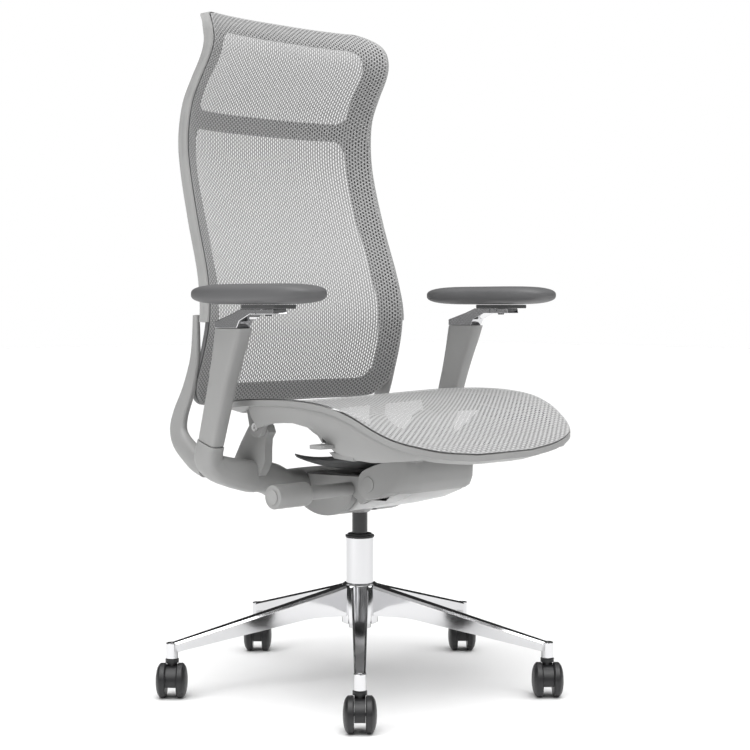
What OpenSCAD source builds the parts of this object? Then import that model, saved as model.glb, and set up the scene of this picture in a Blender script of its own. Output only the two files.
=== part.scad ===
/* [Base] */
// Radius of the circle that the caster stems stand on
base_radius = 344; // [290:2:410]
// Radius of the hub in the middle of the base
hub_radius = 33; // [31:1:40]
// Height of the top of the hub above the floor
hub_top = 182; // [172:1:220]
// Height of a leg where it leaves the hub
leg_root_height = 56; // [45:1:62]
// Height of a leg at its tip
leg_tip_height = 17; // [14:1:22]
// Width of a leg at the hub
leg_root_width = 30; // [24:1:36]
// Width of a leg at its tip
leg_tip_width = 19; // [16:1:22]
// Direction of the first leg, degrees from straight ahead
leg_turn = -44.3; // [-72:0.1:72]

/* [Casters] */
// Diameter of a caster wheel
wheel_diameter = 60; // [50:1:72]
// Width of the flat tread of one wheel
tread_width = 11.5; // [8:0.5:16]
// Bulge of a wheel's outer disc beyond its tread
wheel_bulge = 6.5; // [3:0.5:9]
// Width of the hood between the two wheels
hood_width = 18; // [14:0.5:24]
// Distance from the stem to the axle, seen from above
caster_trail = 8; // [4:1:14]
// Radius of a caster's steel stem
stem_radius = 5.5; // [4:0.5:6.5]

/* [Gas lift] */
// Outer diameter of the outer tube
tube_diameter = 50; // [46:1:56]
// Height of the top of the outer tube
tube_top = 264; // [240:1:300]
// Diameter of the black pressure cylinder
piston_diameter = 28; // [26:1:30]
// Travel up from the height shown
lift_up = 80; // [60:1:90]

/* [Tilt mechanism] */
// Width of the aluminium chassis
chassis_width = 124; // [110:2:136]
// Diameter of the tilt pins
pin_diameter = 12; // [8:1:14]
// Distance from the middle to the outer face of the tension knob
knob_reach = 254; // [230:2:270]
// Diameter of the tension knob
knob_diameter = 41; // [32:1:48]

/* [Back] */
// Height of the top edge of the back
back_top = 1207; // [1200:1:1208]
// Height of the bottom edge of the back
back_bottom = 502; // [501:1:520]
// Width of the border under the mesh
border = 37; // [26:1:48]
// Height of the middle of the bar behind the neck
bar_height = 1019; // [990:1:1050]
// Width of the bar behind the neck
bar_width = 33; // [24:1:44]
// Radius of the upper corners of the back
top_corner = 44; // [30:1:60]
// Radius of the lower corners of the back
low_corner = 55; // [40:1:70]

/* [Seat] */
// Thickness of the seat's rim
rim_thickness = 16; // [12:1:20]
// Width of the seat's rim
rim_width = 30; // [22:1:38]

/* [Arms] */
// Distance from the middle to an arm post
arm_reach = 290; // [288:1:300]
// Travel of the arms up from their lowest place
arm_travel = 80; // [60:1:90]
// Length of an arm pad
pad_length = 287; // [240:1:320]
// Width of an arm pad
pad_width = 98; // [80:1:104]
// Thickness of an arm pad
pad_thickness = 34; // [24:1:36]
// Height of the underside of the pads
pad_height = 683; // [678:1:692]

/* [Hidden] */

$fn = 48;
LEFT = 1;
RIGHT = -1;
run = 0.05;      // radial clearance of a turning or sliding fit
gap = 0.4;       // space between pieces that move past each other
seam = 0.2;      // space between fixed pieces

LIGHT = "#a5a5a2";
MID = "#6e6e6e";
DARK = "#3a3a3a";
BLACK = "#18181a";
METAL = "#d8d8da";

// ---- shared shapes -------------------------------------------------------

function sign_pow(v, e) = (v < 0 ? -1 : 1) * pow(abs(v), e);

// Closed ring of n points round a centre: a rounded box of half sizes hu and hv
function rounded_ring(c, u, v, hu, hv, e = 0.5, n = 20) =
    [for (i = [0 : n - 1]) let (t = 360 * i / n)
        c + u * hu * sign_pow(cos(t), e) + v * hv * sign_pow(sin(t), e)];

function unit(v) = v / norm(v);

// Smooth value at p along a list of rows, each a list of numbers
function row_at(rows, p) =
    let (n = len(rows) - 1, i = min(n - 1, max(0, floor(p))), t = p - i,
         a = rows[max(0, i - 1)], b = rows[i], c = rows[i + 1], d = rows[min(n, i + 2)])
    ((2 * b) + (c - a) * t + (2 * a - 5 * b + 4 * c - d) * t * t
        + (3 * b - a - 3 * c + d) * t * t * t) / 2;

function refine(rows, k) =
    [for (j = [0 : (len(rows) - 1) * k]) row_at(rows, j / k)];

// Place along the rows whose first number is z, found by halving
function place_of(rows, z, lo, hi, n = 22) =
    n == 0 ? (lo + hi) / 2
    : let (m = (lo + hi) / 2)
        row_at(rows, m)[0] < z ? place_of(rows, z, m, hi, n - 1) : place_of(rows, z, lo, m, n - 1);

function profile(rows, z) = row_at(rows, place_of(rows, z, 0, len(rows) - 1));

// Solid through a list of rings, each counter-clockwise about the way to the next, with flat
// ends unless it closes on itself
module skin(rings, closed = false) {
    n = len(rings[0]);
    m = len(rings);
    sides = [for (j = [0 : m - (closed ? 1 : 2)]) for (i = [0 : n - 1])
        let (a = j * n + i, b = j * n + (i + 1) % n,
             c = ((j + 1) % m) * n + i, d = ((j + 1) % m) * n + (i + 1) % n)
        each [[a, d, b], [a, c, d]]];
    ends = closed ? [] : [[for (i = [0 : n - 1]) i], [for (i = [n - 1 : -1 : 0]) (m - 1) * n + i]];
    polyhedron(points = [for (r = rings) each r], faces = concat(sides, ends));
}

// Bar along rows of [x, y, z, half width, half height], its width kept along `wide`
module bar(rows, wide, k = 4, e = 0.5, n = 20) {
    path = refine(rows, k);
    last = len(path) - 1;
    skin([for (j = [0 : last])
        let (p = path[j], a = path[max(0, j - 1)], b = path[min(last, j + 1)],
             dir = unit([b[0] - a[0], b[1] - a[1], b[2] - a[2]]),
             v = unit(cross(dir, wide)), u = cross(v, dir))
        rounded_ring([p[0], p[1], p[2]], u, v, p[3], p[4], e, n)]);
}

// Thin sheet between two equal grids of points
module sheet(front, back) {
    m = len(front);
    n = len(front[0]);
    q = m * n;
    top = [for (j = [0 : m - 2]) for (i = [0 : n - 2])
        let (a = j * n + i) each [[a, a + n, a + n + 1], [a, a + n + 1, a + 1]]];
    low = [for (f = top) [f[2] + q, f[1] + q, f[0] + q]];
    rim = concat([for (i = [0 : n - 1]) i],
        [for (j = [1 : m - 1]) j * n + n - 1],
        [for (i = [n - 2 : -1 : 0]) (m - 1) * n + i],
        [for (j = [m - 2 : -1 : 1]) j * n]);
    w = len(rim);
    edge = [for (i = [0 : w - 1]) let (a = rim[i], b = rim[(i + 1) % w])
        each [[a, b, b + q], [a, b + q, a + q]]];
    polyhedron(points = concat([for (r = front) each r], [for (r = back) each r]),
        faces = concat(top, low, edge));
}

module along_x(from, to) {
    translate([from, 0, 0]) rotate([90, 0, 90]) linear_extrude(to - from) children();
}

module pin_x(from, to, y, z, r) {
    translate([from, y, z]) rotate([0, 90, 0]) cylinder(h = to - from, r = r);
}

module both_sides() {
    children();
    mirror([1, 0, 0]) children();
}

// ---- casters -------------------------------------------------------------

CASTERS = [1, 2, 3, 4, 5];
axle_z = wheel_diameter / 2;
axle_radius = 3;
collar_top = wheel_diameter + 6;
hood_radius = wheel_diameter / 2 - 5;
hood_low = 22;

function leg_angle(i) = leg_turn - 90 + 72 * (i - 1);

// A caster is drawn with its stem on Z and its axle along Y, then put under leg i
module at_leg(i) {
    a = leg_angle(i);
    translate([base_radius * cos(a), base_radius * sin(a), 0])
        rotate([0, 0, leg_angle(1)]) children();
}

module caster_hood(i) {
    color(BLACK) at_leg(i) difference() {
        union() {
            difference() {
                translate([caster_trail, 0, axle_z]) rotate([90, 0, 0])
                    cylinder(h = hood_width, r = hood_radius, center = true);
                translate([-80, -20, -20]) cube([160, 40, 20 + hood_low]);
            }
            translate([0, 0, axle_z]) cylinder(h = collar_top - axle_z, r = hood_width / 2);
            translate([0, 0, collar_top - 6]) cylinder(h = 6, r = 11.7);
        }
        translate([0, 0, axle_z + 8]) cylinder(h = 60, r = stem_radius);
        translate([caster_trail, 0, axle_z]) rotate([90, 0, 0])
            cylinder(h = 60, r = axle_radius + run, center = true);
    }
}

module caster_stem(i) {
    color("#8a8a8c") at_leg(i) {
        translate([0, 0, axle_z + 8]) cylinder(h = collar_top + 20 - axle_z - 8, r = stem_radius);
    }
}

// One wheel's half section, from the axle out, with its domed outer disc
module wheel_section() {
    r = wheel_diameter / 2;
    in = hood_width / 2 + gap;
    out = in + tread_width;
    polygon(concat(
        [[axle_radius, in], [r - 2, in], [r, in + 2], [r, out - 2], [r - 1.5, out]],
        [for (t = [15 : 15 : 90]) [(r - 3) * cos(t), out + wheel_bulge * sin(t)]]
    ));
}

module caster_wheels(i) {
    half = hood_width / 2 + gap + tread_width + wheel_bulge - 1;
    color(BLACK) at_leg(i) translate([caster_trail, 0, axle_z]) {
        for (s = [0, 180]) rotate([-90 + s, 0, 0]) rotate_extrude() wheel_section();
        rotate([90, 0, 0]) cylinder(h = 2 * half, r = axle_radius, center = true);
    }
}

// ---- base and gas lift ---------------------------------------------------

tube_radius = tube_diameter / 2;
piston_radius = piston_diameter / 2;
leg_top_z = hub_top - 2;
leg_tip_z = collar_top + 28;
tube_low = 100;
clip_z = 88;
rod_radius = 5;
cylinder_low = 150;
socket_z = 306;
cylinder_top = 372;

module leg() {
    far = base_radius;
    side = [
        [hub_radius - 6, leg_top_z], [hub_radius + 22, leg_top_z - 9], [far, leg_tip_z],
        [far, leg_tip_z - leg_tip_height], [hub_radius + 60, leg_top_z - 22 - leg_root_height * 0.62],
        [hub_radius - 6, leg_top_z - leg_root_height]
    ];
    plan = [
        [hub_radius - 6, -leg_root_width / 2], [far, -leg_tip_width / 2],
        [far, leg_tip_width / 2], [hub_radius - 6, leg_root_width / 2]
    ];
    intersection() {
        rotate([90, 0, 0]) linear_extrude(60, center = true) polygon(side);
        linear_extrude(300) polygon(plan);
    }
    translate([far, 0, collar_top + 0.5]) cylinder(h = leg_tip_z - collar_top - 0.5, r = 10.5);
}

module star_base() {
    color(METAL) difference() {
        union() {
            translate([0, 0, hub_top - 72]) cylinder(h = 68, r = hub_radius);
            translate([0, 0, hub_top - 4]) cylinder(h = 4, r1 = hub_radius, r2 = hub_radius - 4, $fn = 96);
            for (i = CASTERS) rotate([0, 0, leg_angle(i)]) leg();
        }
        translate([0, 0, -1]) cylinder(h = 400, r = tube_radius);
        for (i = CASTERS) rotate([0, 0, leg_angle(i)]) translate([base_radius, 0, 0])
            cylinder(h = collar_top + 21, r = stem_radius + run);
    }
}

module column_tube() {
    color(METAL) difference() {
        union() {
            translate([0, 0, hub_top - 72]) cylinder(h = tube_top - hub_top + 72, r = tube_radius);
            translate([0, 0, tube_low]) cylinder(h = 30, r = tube_radius - 5);
        }
        translate([0, 0, tube_low + 4]) cylinder(h = 400, r = tube_radius - 2.5 - 5);
        translate([0, 0, 150]) cylinder(h = 400, r = tube_radius - 2.5);
        translate([0, 0, 0]) cylinder(h = 200, r = rod_radius + 0.5);
    }
}

module column_collar() {
    color(BLACK) translate([0, 0, tube_top]) difference() {
        union() {
            cylinder(h = 4, r = tube_radius + 1.2);
            translate([0, 0, 4]) cylinder(h = 3, r = tube_radius - 3);
        }
        translate([0, 0, -1]) cylinder(h = 20, r = piston_radius + run);
    }
}

module guide_bush() {
    color("#c8c8c0") translate([0, 0, tube_top - 60]) difference() {
        cylinder(h = 60, r = tube_radius - 2.5);
        translate([0, 0, -1]) cylinder(h = 80, r = piston_radius + run);
    }
}

module thrust_bearing() {
    color("#9a9a9c") translate([0, 0, tube_low + 4]) difference() {
        cylinder(h = 7, r = tube_radius - 8);
        translate([0, 0, -1]) cylinder(h = 20, r = rod_radius + run);
    }
}

module column_clip() {
    color("#9a9a9c") translate([0, 0, tube_low - 2]) difference() {
        cylinder(h = 2, r = 9);
        translate([0, 0, -1]) cylinder(h = 5, r = rod_radius + run);
    }
}

module piston_rod() {
    color("#b8b8ba") {
        translate([0, 0, clip_z]) cylinder(h = 250, r = rod_radius);
        translate([0, 0, clip_z - 2]) cylinder(h = 8, r = rod_radius + 2.5);
        translate([0, 0, tube_low + 11 + gap]) cylinder(h = 5, r = 12);
    }
}

module gas_cylinder() {
    color(BLACK) difference() {
        translate([0, 0, cylinder_low]) cylinder(h = cylinder_top - cylinder_low, r = piston_radius);
        translate([0, 0, cylinder_low - 1]) cylinder(h = 30, r = rod_radius + run);
        translate([0, 0, cylinder_low + 20]) cylinder(h = 190, r = piston_radius - 3);
    }
}

// ---- tilt mechanism ------------------------------------------------------

// Pivots as [y, z], forward being -y
P_RECLINE = [80, 357];
P_FRONT = [-111, 374];
P_SEAT = [26, 473];
P_LINK = [-220, 430];
P_KNOB = [-52, 361];
pin_radius = pin_diameter / 2;
chassis_half = chassis_width / 2;
cover_half = chassis_half + 12;
boss_radius = 27.5;
link_half = cover_half + 14;
rear_boss_radius = 30;
yoke_in = cover_half + gap;
yoke_boss_out = 100;

// Side view of the casting, y to the right and z up
module casting_side() {
    polygon([
        [98, 345], [98, 372], [60, 384], [-60, 384], [-88, 345],
        [-100, 344], [-128, 345], [-146, 358], [-246, 380], [-262, 372],
        [-240, 361], [-160, 345], [-80, 328], [-40, 320], [40, 320]
    ]);
}

module chassis_casting() {
    color("#c9c9cb") difference() {
        union() {
            along_x(-chassis_half, chassis_half) casting_side();
            translate([0, 0, socket_z + 4]) cylinder(h = 14, r1 = piston_radius + 4, r2 = 30, $fn = 96);
        }
        translate([0, 0, 200]) cylinder(h = cylinder_top - 200, r = piston_radius);
        pin_x(-200, 200, P_RECLINE[0], P_RECLINE[1], pin_radius);
        pin_x(-200, 200, P_KNOB[0], P_KNOB[1], 8 + run);
        translate([-32, 34, 340]) cube([64, 40, 80]);
        translate([-46, -60, 340]) cube([92, 40, 80]);
    }
}

// Plastic shell round the rear of the casting, with a rounded belly
module cover_side() {
    difference() {
        polygon(concat(
            [for (t = [0 : 10 : 90]) [18 - 74 * sin(t), 352 - 44 * cos(t)]],
            [[-78, 336], [-94, 344], [-78, 384]],
            [for (t = [90 : -10 : -90])
                [P_RECLINE[0] + 26 * cos(t), P_RECLINE[1] - 4 + 26 * sin(t)]],
            [for (t = [50 : -10 : 10]) [18 + 72 * sin(t), 352 - 44 * cos(t)]]
        ));
        translate([P_FRONT[0], P_FRONT[1]]) circle(r = boss_radius + 1);
    }
}

module chassis_cover() {
    cheek = chassis_half + seam;
    color(LIGHT) difference() {
        along_x(-cover_half, cover_half) cover_side();
        along_x(-cheek, cheek) offset(delta = seam) casting_side();
        translate([0, 0, 380]) cube([chassis_width, 400, 60], center = true);
        translate([0, 0, 200]) cylinder(h = 200, r = 31);
        pin_x(-200, 200, P_RECLINE[0], P_RECLINE[1], pin_radius + seam);
        pin_x(-200, 200, P_KNOB[0], P_KNOB[1], 9);
        translate([-200, -596, 150]) cube([400, 500, 300]);
    }
}

// Dark bowl over the mechanism, under the seat
module mechanism_cover() {
    function bowl(u, v, t) = [128 * u, -14 + 82 * v,
        389 + t + 22 * pow(abs(u), 2.4) + 14 * v * v];
    us = [for (i = [-8 : 8]) i / 8];
    vs = [for (j = [-6 : 6]) j / 6];
    color(DARK) sheet(
        [for (v = vs) [for (u = us) bowl(u * (1 - 0.25 * v * v), v, 2.5)]],
        [for (v = vs) [for (u = us) bowl(u * (1 - 0.25 * v * v), v, 0)]]
    );
}

module tension_spring() {
    color("#77787a") translate([0, 54, 0]) for (x = [-19, 19]) translate([x, 0, 340])
        difference() {
            cylinder(h = 36, r = 12);
            translate([0, 0, -1]) cylinder(h = 40, r = 8);
        }
}

module recline_pin() {
    color("#8a8a8c") pin_x(-yoke_boss_out + 4, yoke_boss_out - 4, P_RECLINE[0], P_RECLINE[1], pin_radius);
}

module front_pin() {
    color("#8a8a8c") pin_x(-link_half, link_half, P_FRONT[0], P_FRONT[1], pin_radius);
}

module knob_shaft() {
    color(LIGHT) {
        pin_x(-200, -cover_half - 1, P_KNOB[0], P_KNOB[1], 12);
        pin_x(-cover_half - 1, -20, P_KNOB[0], P_KNOB[1], 8);
    }
}

module tension_knob() {
    color(LIGHT) difference() {
        pin_x(-knob_reach, -knob_reach + 74, P_KNOB[0], P_KNOB[1], knob_diameter / 2);
        pin_x(-200, -100, P_KNOB[0], P_KNOB[1], 12);
    }
}

// Grey casing of the link that carries the front of the seat
module link_side() {
    offset(r = 3) offset(delta = -3) difference() {
        union() {
            translate(P_FRONT) circle(r = boss_radius);
            polygon([
                [P_FRONT[0] - 4, P_FRONT[1] - 27], [-150, 360], [-250, 385], [-264, 400],
                [-262, 424], [-240, 442], [-205, 444], [P_FRONT[0], P_FRONT[1] + 27]
            ]);
        }
    }
}

module front_link() {
    half = link_half;
    color(LIGHT) difference() {
        along_x(-half, half) link_side();
        difference() {
            translate([0, -150, 380]) cube([2 * chassis_half + 1, 400, 400], center = true);
            along_x(-half, half) polygon([
                [-150, 432], [-150, 460], [-280, 460], [-280, 386], [-252, 386], [-240, 430]
            ]);
        }
        translate([0, -200, 444]) cube([120, 60, 24], center = true);
        pin_x(-200, 200, P_FRONT[0], P_FRONT[1], pin_radius + run);
        pin_x(-200, 200, P_LINK[0], P_LINK[1], link_pin_radius + 3.5);
    }
}

// ---- back ----------------------------------------------------------------

// Edge of the back as rows of [z, y, half width, hollow of the middle]
BACK = [
    [500, 178, 247, 34], [560, 152, 246, 38], [620, 133, 243, 41], [672, 127, 240, 44],
    [740, 140, 235, 47], [830, 170, 231, 51], [920, 195, 228, 55], [980, 203, 226, 56],
    [1040, 196, 222, 56], [1085, 173, 219, 52], [1120, 151, 217, 46], [1150, 143, 215, 40],
    [1182, 155, 213, 35], [1208, 187, 208, 30]
];

function back_y(x, z) = let (p = profile(BACK, z)) p[1] + p[3] * (1 - pow(min(1, abs(x) / p[2]), 3));
function back_half(z) = profile(BACK, z)[2];
function back_point(x, z, off) = [x, back_y(x, z) + off, z];

// Rounded outline of the back, `in` from its edge, as [x, z]; every outline has as many points
function back_outline(in, low, high, r_low, r_high, grow = 0) =
    let (z0 = low + in, z1 = high - in, c0 = max(8, r_low - in), c1 = max(8, r_high - in),
         right = concat(
            [for (i = [0 : 1 : 5]) [i / 6 * (back_half(z0) - in + grow - c0), z0]],
            [for (i = [0 : 5]) let (t = -90 + 15 * i, z = z0 + c0 + c0 * sin(t))
                [back_half(z) - in + grow - c0 + c0 * cos(t), z]],
            [for (i = [0 : 39]) let (z = z0 + c0 + (z1 - c1 - z0 - c0) * i / 40)
                [back_half(z) - in + grow, z]],
            [for (i = [0 : 5]) let (t = 15 * i, z = z1 - c1 + c1 * sin(t))
                [back_half(z) - in + grow - c1 + c1 * cos(t), z]],
            [for (i = [0 : 5]) [(1 - i / 6) * (back_half(z1) - in + grow - c1), z1]]))
    concat(right, [[0, z1]], [for (i = [len(right) - 1 : -1 : 1]) [-right[i][0], right[i][1]]]);

// Section of a frame behind the mesh, from its outer edge o to its inner edge n
function back_section(o, n, front, back) = let (m = (o + n) / 2)
    [back_point(o[0], o[1], back), back_point(m[0], m[1], back), back_point(n[0], n[1], back),
     back_point(n[0], n[1], front), back_point(m[0], m[1], front), back_point(o[0], o[1], front)];

module back_ring(outer, inner, front, back) {
    skin([for (i = [0 : len(outer) - 1]) back_section(outer[i], inner[i], front, back)], closed = true);
}

frame_front = 3.6;
frame_back = 14;
shell_front = 15.8;
shell_back = 25;
shell_lip = 5;

module back_frame() {
    color(DARK) back_ring(
        back_outline(0, back_bottom, back_top, low_corner, top_corner),
        back_outline(border, back_bottom, back_top, low_corner, top_corner),
        frame_front, frame_back);
}

module neck_bar() {
    zs = [for (j = [-2 : 2]) bar_height + bar_width / 4 * j];
    us = [for (i = [-10 : 10]) i / 10];
    function at(u, z, off) = back_point(u * (back_half(z) - border - seam), z, off);
    color(DARK) sheet(
        [for (z = zs) [for (u = us) at(u, z, frame_back)]],
        [for (z = zs) [for (u = us) at(u, z, frame_front)]]);
}

// Half width of the mesh at a height, with the rounded corners
function mesh_half(z) =
    let (zt = back_top - top_corner, zb = back_bottom + low_corner,
         r = z > zt ? top_corner : low_corner, d = z > zt ? z - zt : max(0, zb - z))
    back_half(z) - r + sqrt(max(0, r * r - d * d));

module back_mesh() {
    zs = concat([for (t = [90 : -18 : 18]) back_bottom + low_corner * (1 - sin(t))],
        [for (j = [0 : 44]) back_bottom + low_corner
            + (back_top - top_corner - back_bottom - low_corner) * j / 44],
        [for (t = [18 : 18 : 90]) back_top - top_corner * (1 - sin(t))]);
    us = [for (i = [-9 : 9]) i / 9];
    color("#9c9c9c") sheet(
        [for (z = zs) [for (u = us) back_point(u * mesh_half(z), z, 1)]],
        [for (z = zs) [for (u = us) back_point(u * mesh_half(z), z, -1)]]);
}

shell_low = 650;

module back_shell() {
    outer = back_outline(0, back_bottom, back_top, low_corner, top_corner, shell_lip);
    inner = back_outline(border - 12, back_bottom, back_top, low_corner, top_corner, 0);
    keep = [for (i = [0 : len(outer) - 1]) if (outer[i][1] > shell_low) i];
    color(LIGHT) skin([for (i = keep) back_section(outer[i], inner[i], shell_front, shell_back)]);
}

// ---- yoke, which carries the back and the arms -----------------------------

BRACKET_END = [-214, 58, 386];
fin_out = BRACKET_END[0] + seam;
ELBOW_UP = [-arm_reach, 66, 446];
ARM_LEAN = [0, -0.2926, 0.9562];

module yoke_side() {
    // rail from the back's side down and forward to the elbow
    bar([
        [-243, 163, 664, 5, 6], [-246, 160, 620, 5.5, 8], [-247, 163, 580, 6, 11], [-248, 180, 530, 6.5, 14],
        [-249, 200, 490, 7, 17], [-250, 206, 462, 8, 20], [-252, 196, 442, 10, 20],
        [-256, 168, 424, 13, 19], [-266, 128, 410, 16, 19], [-272, 96, 404, 17, 20]
    ], [1, 0, 0], e = 0.6);
    // elbow from the arm post down and in to the middle bracket
    up = ELBOW_UP[0];
    bar([
        [up, ELBOW_UP[1], ELBOW_UP[2], 24, 17], [up, 71, 430, 24.5, 17.5], [up + 5, 75, 414, 25, 19],
        [up + 23, 73, 401, 26, 23], [up + 50, 64, 392, 27, 26],
        [BRACKET_END[0], BRACKET_END[1], BRACKET_END[2], 27, 28],
        [BRACKET_END[0] + 10, BRACKET_END[1], BRACKET_END[2] - 1, 27, 28]
    ], [0, 1, 0], e = 0.55);
}

// Room for the back's ring in the rail that carries it
module ring_space() {
    room = 0.6;
    back_ring(
        back_outline(-room, back_bottom, back_top, low_corner, top_corner),
        back_outline(border, back_bottom, back_top, low_corner, top_corner),
        frame_front - room, frame_back + room);
}

module yoke(side) {
    color(LIGHT) scale([side == RIGHT ? 1 : -1, 1, 1]) difference() {
        yoke_side();
        arm_core(13, 5);
        ring_space();
        translate([BRACKET_END[0], 0, 300]) cube([60, 200, 200]);
    }
}

// Space or tenon along the arm's line, from `low` before the receiver's top to `high` beyond it
module arm_line() {
    translate([-arm_reach, ELBOW_UP[1], ELBOW_UP[2]])
        rotate([atan2(-ARM_LEAN[1], ARM_LEAN[2]), 0, 0]) children();
}

module core_shape(grow = 0) {
    offset(r = 4) square([14 + 2 * grow, 30 + 2 * grow], center = true);
}

module arm_core(depth, high) {
    arm_line() translate([0, 0, -depth]) linear_extrude(depth + high) core_shape();
}

module arm_post(side) {
    color("#8a8a8c") scale([side == RIGHT ? 1 : -1, 1, 1])
        arm_line() translate([0, 0, -13]) linear_extrude(13 + 150) core_shape();
}

module yoke_bracket() {
    color(LIGHT) difference() {
        union() {
            both_sides() bar([
                [BRACKET_END[0] - 8, BRACKET_END[1], BRACKET_END[2], 27, 28],
                [-190, 58, 384, 27, 28], [-160, 62, 376, 27, 28],
                [-128, 72, 364, 28, 28], [-yoke_in - 7, P_RECLINE[0], P_RECLINE[1], 28, 28]
            ], [0, 1, 0], e = 0.6);
            for (s = [-1, 1]) translate([s * (yoke_in + 9), P_RECLINE[0], P_RECLINE[1]])
                rotate([0, 90, 0]) cylinder(h = 18, r = rear_boss_radius, center = true);
            bar([
                [-94, 98, 364, 12, 12], [-82, 128, 366, 12, 12], [-40, 142, 368, 12, 12], [40, 142, 368, 12, 12],
                [82, 128, 366, 12, 12], [94, 98, 364, 12, 12]
            ], [0, 0, 1], e = 0.7);
            both_sides() along_x(fin_out, fin_out + 17) fin_side();
        }
        pin_x(-200, 200, P_RECLINE[0], P_RECLINE[1], pin_radius + run);
        pin_x(-260, 260, P_SEAT[0], P_SEAT[1], 4 + run);
        both_sides() translate([fin_out - 60, 0, 300]) cube([60, 200, 200]);
    }
}

// Fin that reaches up to the seat, seen from the side
module fin_side() {
    polygon(concat(
        [[100, 386], [97, 411], [78, 442], [60, 467]],
        [for (t = [30 : 20 : 150]) [P_SEAT[0] + 5 + 26 * cos(t), P_SEAT[1] - 6 + 16 * sin(t)]],
        [[4, 464], [12, 453], [14, 434], [14, 414], [22, 397], [34, 384]]
    ));
}

// ---- seat ----------------------------------------------------------------

// Edge of the seat as rows of [y, half width, z], back to front
SEAT = [
    [150, 176, 508], [120, 206, 512], [80, 232, 517], [20, 248, 523], [-60, 255, 527],
    [-130, 256, 526], [-190, 254, 519], [-235, 249, 505], [-270, 240, 487], [-300, 224, 471],
    [-322, 196, 460], [-338, 140, 448], [-345, 70, 441]
];
ear_thickness = 9;
function seat_row(y) = let (p = place_of([for (r = SEAT) [-r[0], r[1], r[2]]], -y, 0, len(SEAT) - 1))
    row_at(SEAT, p);
function seat_sag(y) = 26 * pow(sin(max(0, min(180, (y + 345) / 495 * 180))), 0.8) + 3;
function seat_z(x, y) = let (r = seat_row(y), u = min(1, abs(x) / max(60, r[1])))
    r[2] - seat_sag(y) * (1 - pow(u, 2.2)) * (y < -300 ? max(0.12, (y + 345) / 45) : 1);

// The seat's outline, `in` from the edge, as [x, y], with one point per row step
function seat_outline(in) =
    let (path = refine(SEAT, 3),
         right = [for (r = path) [r[1], r[0]]],
         m = len(right) - 1,
         inset = [for (i = [0 : m])
            let (a = right[max(0, i - 1)], b = right[min(m, i + 1)],
                 d = unit([b[0] - a[0], b[1] - a[1]]))
            [right[i][0] + d[1] * in, right[i][1] - d[0] * in]])
    concat(inset, seat_end(inset[m][0], SEAT[len(SEAT) - 1][0] + in * 0.8),
        [for (i = [m : -1 : 0]) [-inset[i][0], inset[i][1]]],
        seat_end(-inset[0][0], SEAT[0][0] - in * 0.55));

// Middle of the seat's outline across its front or back
function seat_end(x, y) = [for (k = [0.5, 0, -0.5]) [x * k, y]];

module seat_frame() {
    outer = seat_outline(0);
    inner = seat_outline(rim_width);
    top = -3;
    sunk = 4;
    function down(p, o, d) = [p[0], p[1], seat_z(o[0], o[1]) + d];
    color(LIGHT) difference() {
        union() {
            skin([for (i = [0 : len(outer) - 1]) let (o = outer[i], n = inner[i], m = o * 0.3 + n * 0.7)
                [[n[0], n[1], seat_z(n[0], n[1]) - sunk - 8], down(m, o, top - rim_thickness),
                 down(o, o, top - rim_thickness * 0.6), down(o, o, top),
                 [n[0], n[1], seat_z(n[0], n[1]) - sunk]]], closed = true);
            both_sides() ear();
        }
        pin_x(-300, 300, P_SEAT[0], P_SEAT[1], 4);
    }
}

// Ear on the rim that takes the rear pivot screw
module ear() {
    along_x(fin_out - gap - ear_thickness, fin_out - gap) polygon(concat(
        [[66, 509], [50, 500]],
        [for (t = [0 : -20 : -180]) [P_SEAT[0] + 17 * cos(t), P_SEAT[1] - 2 + 16 * sin(t)]],
        [[-14, 500], [-40, 509]]
    ));
}

module seat_mesh() {
    path = refine(SEAT, 3);
    us = [for (i = [-9 : 9]) i / 9];
    function at(u, r, off) = [u * (r[1] - 1), r[0], seat_z(u * (r[1] - 1), r[0]) + off];
    color("#9c9c9c") sheet(
        [for (r = path) [for (u = us) at(u, r, -1)]],
        [for (r = path) [for (u = us) at(u, r, 1)]]);
}

pod_out = -222;
P_LEVER = [-161, 452];
LEVER_X = pod_out + 5;
link_pin_radius = 4;

// Apron under the front half: slopes from the rim in to an open middle
module seat_pan() {
    function lip(t) = [-96 - 6 * t, -88 - 214 * t, 420 + 8 * t];
    function rim_at(t) = let (r = seat_row(-92 - 190 * t)) [-r[1] + 12, -92 - 190 * t, r[2] - rim_thickness - 8.4];
    function mid(t) = let (a = lip(t), b = rim_at(t)) (a + b) / 2 + [-14, 0, -10];
    ts = [for (i = [0 : 8]) i / 8];
    function arc(t, w, off) = let (a = lip(t), m = mid(t), b = rim_at(t))
        (1 - w) * (1 - w) * a + 2 * w * (1 - w) * m + w * w * b + [0, 0, off];
    ws = [for (i = [0 : 6]) i / 6];
    color(LIGHT) difference() {
        union() {
            both_sides() sheet(
                [for (t = ts) [for (w = ws) arc(t, w, 4)]],
                [for (t = ts) [for (w = ws) arc(t, w, 0)]]);
            translate([-108, -307, 427]) cube([216, 6, 14]);
            both_sides() along_x(-106, -90) polygon([[-198, 420], [-198, 442], [-242, 446], [-242, 422]]);
            both_sides() along_x(pod_out, pod_out + 16) polygon([
                [-98, 500], [-106, 487], [-124, 471], [-145, 449], [-168, 432], [-212, 430],
                [-216, 484]]);
        }
        pin_x(-300, 300, P_LINK[0], P_LINK[1], link_pin_radius);
        translate([pod_out - 1, P_LEVER[0] - 22, P_LEVER[1] - 11]) cube([12, 44, 22]);
        translate([LEVER_X, P_LEVER[0] - 40, P_LEVER[1]]) rotate([-90, 0, 0]) cylinder(h = 80, r = 2);
    }
}

screw_out = fin_out - gap - ear_thickness - 4;

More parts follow.
